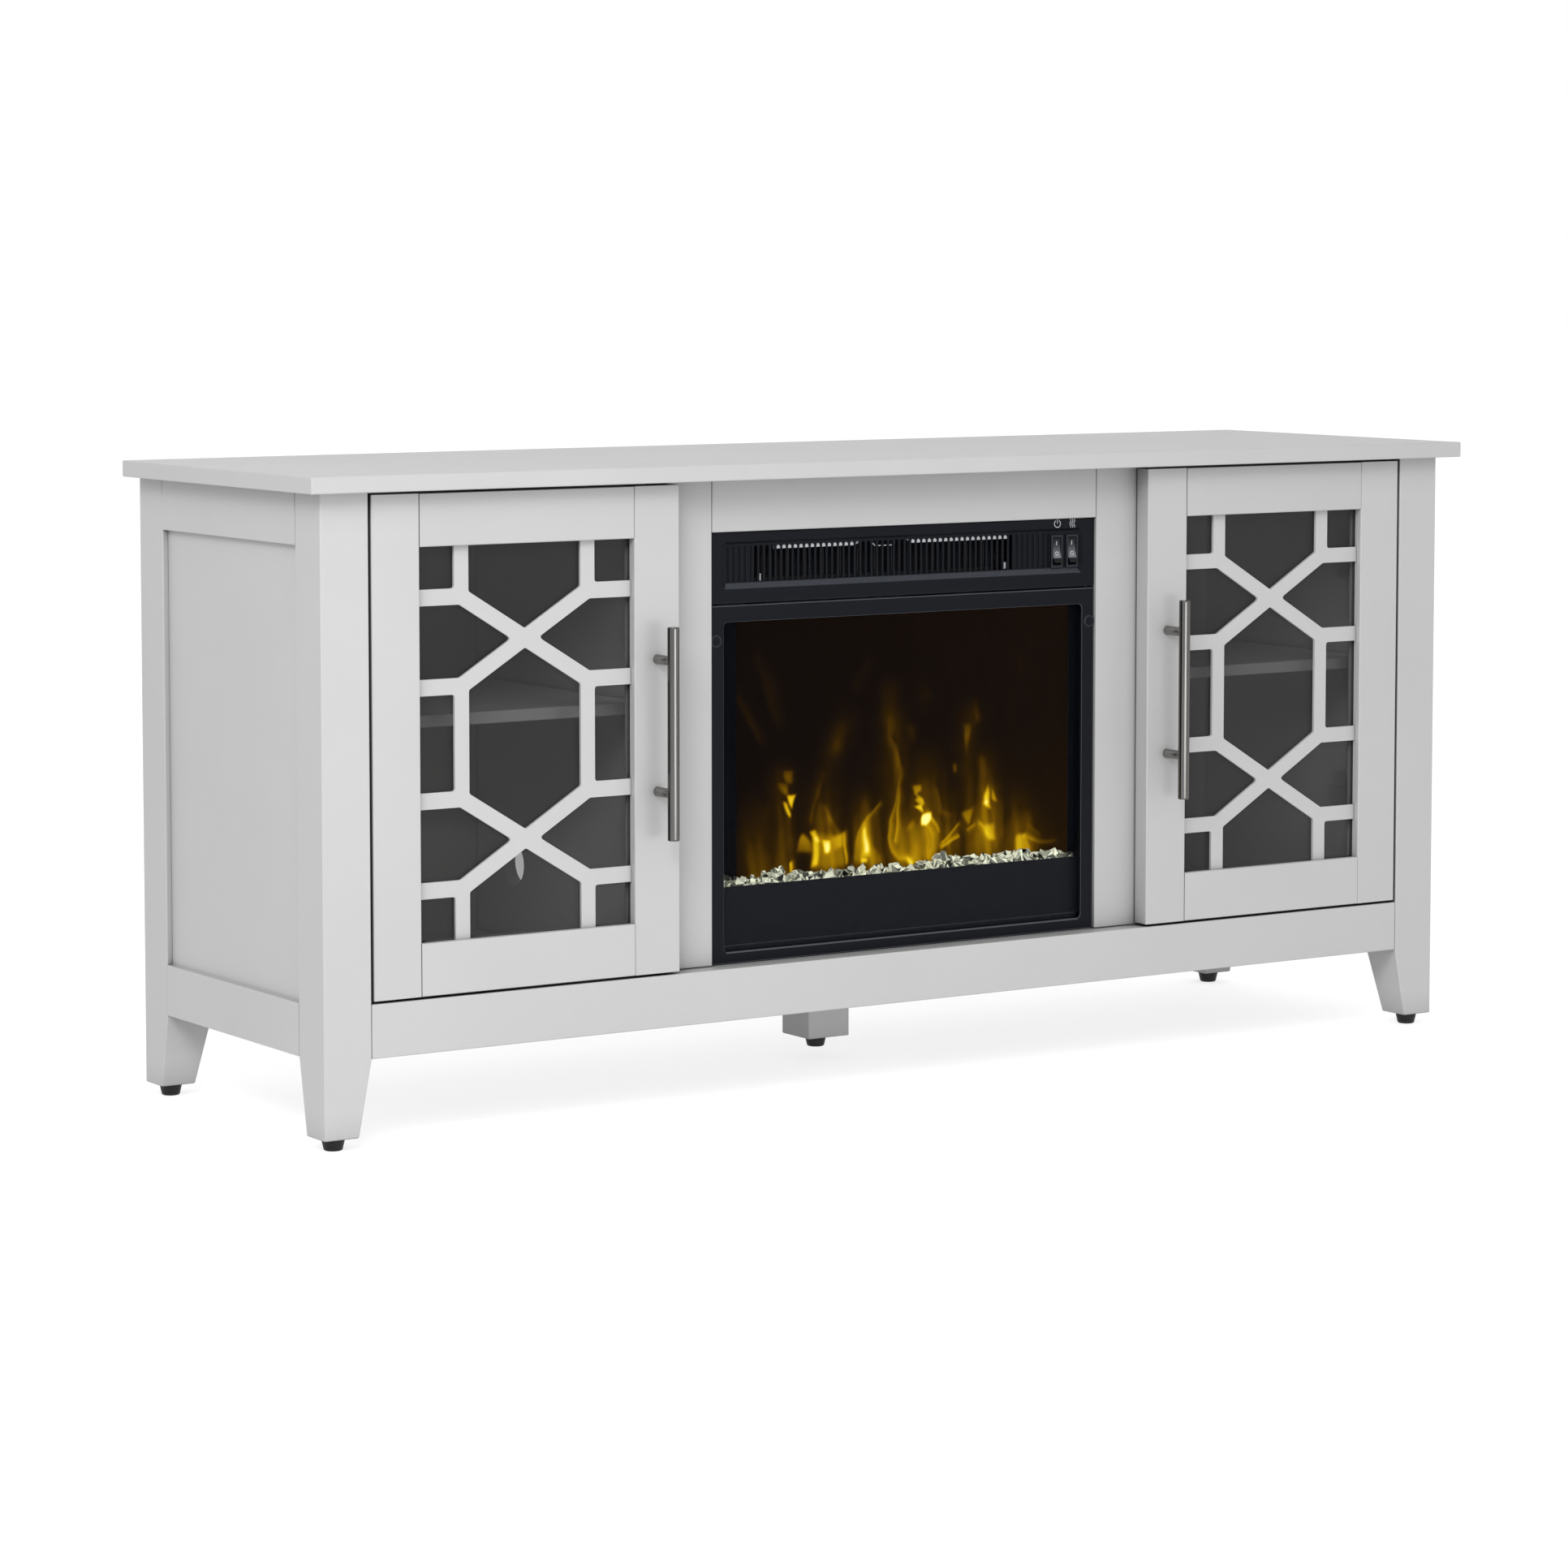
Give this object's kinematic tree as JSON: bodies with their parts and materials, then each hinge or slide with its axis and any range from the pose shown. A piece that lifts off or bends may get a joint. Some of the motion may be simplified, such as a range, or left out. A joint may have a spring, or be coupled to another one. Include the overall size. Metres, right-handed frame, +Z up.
{
  "type": "fireplace media cabinet",
  "caption": "White media cabinet on tapered legs: fretwork glass doors with bar handles either side of a built-in electric fire with a heater grille and rocker switches.",
  "frame": {"origin": "on the floor, under the middle of the outer box of the stand with its handles", "axes": "+X to the stand's right as seen from the front, +Y towards its back, +Z up"},
  "size_m": [1.3842, 0.4158, 0.631],
  "materials": {
    "white_paint": "satin white lacquer on board",
    "white_board": "matt white laminate",
    "hardboard": "matt, white-faced hardboard",
    "brushed_nickel": "brushed nickel",
    "zinc_steel": "zinc plated",
    "bright_steel": "bright",
    "smoked_glass": "smooth, grey tinted",
    "fire_glass": "smooth, dark tinted",
    "black_moulding": "semi-gloss black",
    "black_plastic": "satin black",
    "black_sheet": "satin black",
    "crystal": "broken clear glass",
    "amber_screen": "translucent amber"
  },
  "bodies": {
    "cabinet": {"top_panel": "white_paint", "front_apron": "white_paint", "centre_leg": "white_paint", "face_top_rail": "white_paint", "front_left_leg": "white_paint", "front_right_leg": "white_paint", "rear_left_leg": "white_paint", "rear_right_leg": "white_paint", "left_end_panel": "white_paint", "right_end_panel": "white_paint", "left_face_stile": "white_paint", "right_face_stile": "white_paint", "left_side_board": "white_board", "right_side_board": "white_board", "left_divider": "white_board", "right_divider": "white_board", "left_shelf": "white_board", "right_shelf": "white_board", "base_panel": "white_board", "back_panel": "hardboard", "front_left_glide": "black_plastic", "front_right_glide": "black_plastic", "rear_left_glide": "black_plastic", "rear_right_glide": "black_plastic", "left_upper_hinge_arm": "zinc_steel", "right_upper_hinge_arm": "zinc_steel", "left_lower_hinge_arm": "zinc_steel", "right_lower_hinge_arm": "zinc_steel", "fire_frame": "black_moulding", "heater_bezel": "black_moulding", "fire_glass": "fire_glass", "fire_housing": "black_sheet", "ember_tray": "black_sheet", "crystal_bed": "crystal", "flame_screen": "amber_screen", "heating_element": "zinc_steel", "blower_motor": "zinc_steel"},
    "left_door": {"left_door_hinge_stile": "white_paint", "left_door_handle_stile": "white_paint", "left_door_top_rail": "white_paint", "left_door_bottom_rail": "white_paint", "left_door_fretwork": "white_paint", "left_door_glass": "smoked_glass", "left_door_handle": "brushed_nickel", "left_upper_hinge_cup": "zinc_steel", "left_lower_hinge_cup": "zinc_steel"},
    "right_door": {"right_door_hinge_stile": "white_paint", "right_door_handle_stile": "white_paint", "right_door_top_rail": "white_paint", "right_door_bottom_rail": "white_paint", "right_door_fretwork": "white_paint", "right_door_glass": "smoked_glass", "right_door_handle": "brushed_nickel", "right_upper_hinge_cup": "zinc_steel", "right_lower_hinge_cup": "zinc_steel"},
    "power_switch": {"power_rocker": "black_plastic"},
    "heat_switch": {"heat_rocker": "black_plastic"},
    "flame_rotor": {"flame_spindle": "bright_steel"},
    "blower_rotor": {"blower_wheel": "zinc_steel"},
    "centre_leveller": {"centre_leveller": "black_plastic"}
  },
  "joints": [
    {"name": "left_door_hinge", "type": "hinge", "parent": "cabinet", "child": "left_door", "pos_m": [-0.6219, -0.1729, 0.3755], "axis": [0, 0, -1], "range_deg": [0, 100]},
    {"name": "right_door_hinge", "type": "hinge", "parent": "cabinet", "child": "right_door", "pos_m": [0.6219, -0.1729, 0.3755], "axis": [0, 0, 1], "range_deg": [0, 100]},
    {"name": "power_rocker_tilt", "type": "hinge", "parent": "cabinet", "child": "power_switch", "pos_m": [0.1878, -0.1421, 0.5288], "axis": [1, 0, 0], "range_deg": [0, 18]},
    {"name": "heat_rocker_tilt", "type": "hinge", "parent": "cabinet", "child": "heat_switch", "pos_m": [0.2071, -0.1421, 0.5288], "axis": [1, 0, 0], "range_deg": [0, 18]},
    {"name": "flame_rotor_spin", "type": "hinge", "parent": "cabinet", "child": "flame_rotor", "pos_m": [0, -0.0438, 0.2328], "axis": [1, 0, 0], "continuous": true},
    {"name": "blower_spin", "type": "hinge", "parent": "cabinet", "child": "blower_rotor", "pos_m": [-0.026, -0.0798, 0.5192], "axis": [1, 0, 0], "continuous": true},
    {"name": "centre_leveller_screw", "type": "slide", "parent": "cabinet", "child": "centre_leveller", "axis": [0, 0, -1], "range_m": [0, 0.012]}
  ]
}
